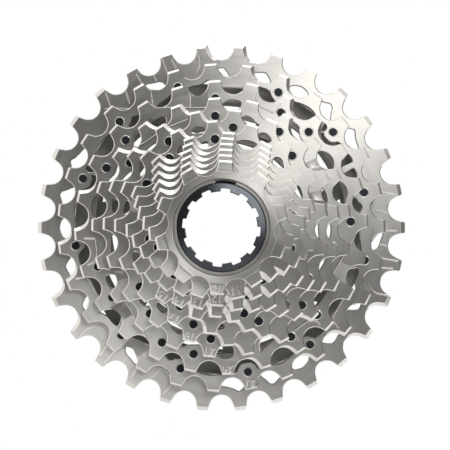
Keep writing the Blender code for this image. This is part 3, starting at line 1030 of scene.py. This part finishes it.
def make_carrier():
    """The disc behind the largest sprocket, with windows between swept arms, and its splined hub."""
    spots = rivet_spots(CARRIER_RIVETED)
    edge = []
    for angle, radius in spots:
        x, y = at(radius, angle)
        for turn in CARRIER_LOBE_TURNS:
            lobe_x, lobe_y = at(CARRIER_LOBE, angle + turn)
            edge.append((x + lobe_x, y + lobe_y))
    outlines = [edge, circle(CARRIER_BORE, ROUND_SIDES)]
    outlines += [circle(CARRIER_HOLE, CARRIER_HOLE_SIDES, at(radius, angle)) for angle, radius in spots]
    inner_radius, outer_radius = CARRIER_OPEN
    inner_turn, outer_turn = CARRIER_OPEN_TURN
    inner_points, outer_points = CARRIER_OPEN_POINTS
    for i in range(CARRIER_WINDOWS):
        middle = CARRIER_FIRST_ARM + 360 / CARRIER_WINDOWS * (i + 0.5)
        outer = arc(outer_radius, middle - outer_turn, middle + outer_turn, outer_points)
        middle += CARRIER_SWEEP
        outlines.append(outer + arc(inner_radius, middle + inner_turn, middle - inner_turn, inner_points))
    disc = plate("carrier_disc", outlines, CARRIER_FRONT, node_back("carrier"), CARRIER_BEVEL)
    finish_mesh(disc, GREY)
    carried(disc, "cassette", "carrier_alloy", "carrier")
    splines = []
    start, end = SPLINE_TIP_TURNS
    root_points, tip_points = SPLINE_POINTS
    for i in range(SPLINES):
        middle = 360 / SPLINES * i
        splines += arc(SPLINE_ROOT, middle - SPLINE_ROOT_TURN, middle + SPLINE_ROOT_TURN, root_points)
        splines += arc(SPLINE_TIP, middle + start, middle + end, tip_points)
    outlines = [circle(HUB_RADIUS, ROUND_SIDES), splines]
    hub = plate("splined_hub", outlines, node_front("carrier_hub"), node_back("carrier_hub"), HUB_BEVEL)
    finish_mesh(hub, GREY)
    carried(hub, "cassette", "carrier_alloy", "carrier_hub")


def make_sleeve():
    """The sleeve that the small sprockets sit on, narrower inside the smallest one."""
    low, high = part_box("hub_sleeve")
    front, back = low[1] / MM, high[1] / MM
    step = node_back(f"sprocket_{SMALLEST}t") + SLEEVE_STEP
    profile = [
        (SLEEVE_BORE + SLEEVE_BORE_CHAMFER, front),
        (SLEEVE_BORE, front + SLEEVE_BORE_CHAMFER),
        (SLEEVE_BORE, back - SLEEVE_CHAMFER),
        (SLEEVE_BORE + SLEEVE_CHAMFER, back),
        (SLEEVE_RADIUS - SLEEVE_CHAMFER, back),
        (SLEEVE_RADIUS, back - SLEEVE_CHAMFER),
        (SLEEVE_RADIUS, step + SLEEVE_STEP_CHAMFER),
        (SLEEVE_RADIUS - SLEEVE_STEP_CHAMFER, step),
        (SLEEVE_NOSE, step),
        (SLEEVE_NOSE, front + SLEEVE_NOSE_CHAMFER),
        (SLEEVE_NOSE - SLEEVE_NOSE_CHAMFER, front),
    ]
    obj = turned("sleeve", profile, ROUND_SIDES)
    finish_mesh(obj, SLEEVE)
    carried(obj, "cassette", "sleeve_steel", "hub_sleeve")


def notch_profile():
    """One notch of the lock tube as (across, out) points, with round corners."""
    half = NOTCH_WIDTH / 2
    mouth = math.sqrt(NOTCH_INNER**2 - half**2)
    sides = []
    for sign in (-1, 1):
        side = [(sign * half, mouth)]
        for degrees in CORNER_TURNS:
            turn = math.radians(degrees)
            across = half - NOTCH_CORNER * (1 - math.cos(turn))
            side.append((sign * across, NOTCH_OUTER - NOTCH_CORNER * (1 - math.sin(turn))))
        sides.append(side)
    return sides[0] + sides[1][::-1]


def make_lock_tube():
    """A notched collar with a wider tube behind it; the collar's front is sloped by a cone."""
    front, back = node_front("lock_tube"), node_back("lock_tube")
    outline = []
    land = math.degrees(math.asin(NOTCH_WIDTH / 2 / NOTCH_INNER)) + LAND_EASE
    for i in range(NOTCHES):
        middle = NOTCH_TURN + 360 / NOTCHES * i
        outline += placed(notch_profile(), middle)
        outline += arc(NOTCH_INNER, middle + land, middle + 360 / NOTCHES - land, LAND_POINTS)
    ring = circle(COLLAR_RADIUS, ROUND_SIDES)
    collar = plate("collar", [ring, outline], front, front + COLLAR_DEPTH, COLLAR_BEVEL, 1)
    step = front + TUBE_STEP
    lap_front, lap = TUBE_LAP
    lap_end, bore_start = TUBE_LAP_END
    profile = [
        (lap, step + TUBE_FRONT_CHAMFER),
        (lap, front + lap_end),
        (TUBE_BORE, front + bore_start),
        (TUBE_BORE, back - TUBE_BORE_CHAMFER),
        (TUBE_BORE + TUBE_BORE_CHAMFER, back),
        (TUBE_RADIUS - TUBE_CHAMFER, back),
        (TUBE_RADIUS, back - TUBE_CHAMFER),
        (TUBE_RADIUS, step + TUBE_FRONT_CHAMFER),
        (TUBE_RADIUS - TUBE_FRONT_CHAMFER, step),
        (lap_front, step),
    ]
    combine(collar, turned("tube_body", profile, ROUND_SIDES), "UNION")
    far = COLLAR_RADIUS + COLLAR_CLEAR
    ahead = front - COLLAR_CLEAR
    sloped = front + (far - NOTCH_INNER) * COLLAR_SLOPE
    cone = [(NOTCH_INNER, ahead), (NOTCH_INNER, front), (far, sloped), (far, ahead)]
    combine(collar, turned("collar_cone", cone, ROUND_SIDES))
    collar.name = "lock_tube_body"
    finish_mesh(collar, BLACK)
    # The walls inside the notches and the bore take the near-black copy, which is painted shade.
    collar.data.materials.append(SHADED)
    for face in collar.data.polygons:
        inside = math.hypot(face.center.x, face.center.z) < SHADED_RADIUS * MM
        face.material_index = int(inside and face.normal.y > -WALL_FACING)
    carried(collar, "lock_tube", "lock_tube_alloy", "lock_tube")


def make_snap_ring():
    """The wire round the lock tube, open at the top."""
    low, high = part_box("snap_ring")
    start, end = SNAP_OPENING
    outline = arc(SNAP_OUTER, end, start + 360, SNAP_POINTS) + arc(SNAP_INNER, start + 360, end, SNAP_POINTS)
    ring = plate("snap_wire", [outline], low[1] / MM, high[1] / MM, SNAP_BEVEL)
    finish_mesh(ring, SPRING)
    carried(ring, "cassette", "spring_steel", "snap_ring")


for count in ORDER:
    make_sprocket(count)
make_nose()
make_rivets()
make_carrier()
make_sleeve()
make_lock_tube()
make_snap_ring()


# ---------------- stage, light and camera


def area_light(name, place, size, energy, color=(1, 1, 1)):
    data = bpy.data.lights.new(name, "AREA")
    data.shape = "RECTANGLE"
    data.size, data.size_y = size
    data.energy = energy
    data.color = color
    light = bpy.data.objects.new(name, data)
    light.location = place
    light.rotation_euler = (Vector(place) - Vector(LIGHT_TARGET)).to_track_quat("Z", "Y").to_euler()
    bpy.context.scene.collection.objects.link(light)


def make_stage():
    work = bmesh.new()
    bmesh.ops.create_circle(work, cap_ends=True, segments=FLOOR_SIDES, radius=FLOOR_RADIUS)
    mesh = bpy.data.meshes.new("floor")
    work.to_mesh(mesh)
    work.free()
    floor = new_object("floor", mesh)
    floor.location = (0, 0, FLOOR_HEIGHT)
    material, _, shader = node_material("pale_floor")
    shader.inputs["Base Color"].default_value = FLOOR_COLOUR
    shader.inputs["Roughness"].default_value = FLOOR_ROUGHNESS
    mesh.materials.append(material)


def make_world():
    """White where it is seen, and a studio in reflections and lighting."""
    world = bpy.data.worlds.new("studio")
    world.use_nodes = True
    bpy.context.scene.world = world
    tree = world.node_tree
    tree.nodes.clear()
    place = add(tree, "ShaderNodeTexCoord").outputs["Generated"]
    split = add(tree, "ShaderNodeSeparateXYZ")
    tree.links.new(place, split.inputs[0])
    x, y, z = split.outputs
    slant = add(tree, "ShaderNodeVectorMath", operation="DOT_PRODUCT")
    slant.inputs[1].default_value = STUDIO_UPPER_RIGHT
    tree.links.new(place, slant.inputs[0])
    # The room is dim ahead and bright to the sides, but dark at the far right and towards the upper right and
    # rear. It is a little dimmer below, and dimmer straight behind.
    beside = ranged(tree, y, 0.0, 1.0, (-0.75, -0.35), smooth=True)
    behind = ranged(tree, y, 0.0, 0.95, (-0.2, -0.1), smooth=True)
    upper_right = ranged(tree, slant.outputs["Value"], 0.0, 1.0, (0.0, 0.4), smooth=True)
    shares = (
        ranged(tree, x, 1.0, 0.08, (0.8, 0.95), smooth=True),
        ranged(tree, z, 0.7, 1.0, (-0.8, -0.05), smooth=True),
        calculated(tree, "SUBTRACT", 1.0, calculated(tree, "MULTIPLY", behind, upper_right)),
        ranged(tree, y, 1.0, 0.3, (0.75, 0.95), smooth=True),
    )
    level = beside
    for share in shares:
        level = calculated(tree, "MULTIPLY", level, share)
    seen = add(tree, "ShaderNodeBackground", in_Strength=1.0, in_Color=(1, 1, 1, 1))
    room = add(tree, "ShaderNodeBackground", in_Strength=1.0)
    tree.links.new(mixed(tree, level, STUDIO_DIM, STUDIO_BRIGHT), room.inputs["Color"])
    rays = add(tree, "ShaderNodeLightPath")
    mix = add(tree, "ShaderNodeMixShader")
    out = add(tree, "ShaderNodeOutputWorld")
    tree.links.new(rays.outputs["Is Camera Ray"], mix.inputs[0])
    tree.links.new(room.outputs[0], mix.inputs[1])
    tree.links.new(seen.outputs[0], mix.inputs[2])
    tree.links.new(mix.outputs[0], out.inputs[0])


def make_lights():
    area_light("key_upper_right", (0.40, -0.72, 0.48), (0.62, 0.62), 7.0, color=(1.0, 0.985, 0.955))
    area_light("upper", (0.06, -0.62, 0.62), (0.25, 0.25), 0.8)
    area_light("right", (0.66, -0.58, 0.08), (0.25, 0.25), 1.6)
    area_light("lower_left", (-0.32, -0.72, -0.36), (0.3, 0.3), 0.7)
    area_light("top", (0.0, -0.1, 0.75), (0.9, 0.5), 1.2)
    area_light("behind", (0.3, 0.8, 0.5), (0.8, 0.8), 3)


def make_camera():
    front = node_front(f"sprocket_{LARGEST}t") * MM
    data = bpy.data.cameras.new("camera")
    data.lens = CAMERA_LENS
    data.sensor_width = CAMERA_SENSOR
    data.shift_x, data.shift_y = CAMERA_SHIFT
    camera = bpy.data.objects.new("camera", data)
    camera.location = (0, front - CAMERA_DISTANCE, 0)
    camera.rotation_euler = (math.pi / 2, 0, 0)
    bpy.context.scene.collection.objects.link(camera)
    bpy.context.scene.camera = camera


make_stage()
make_world()
make_lights()
make_camera()
bpy.context.scene.view_settings.view_transform = "Standard"
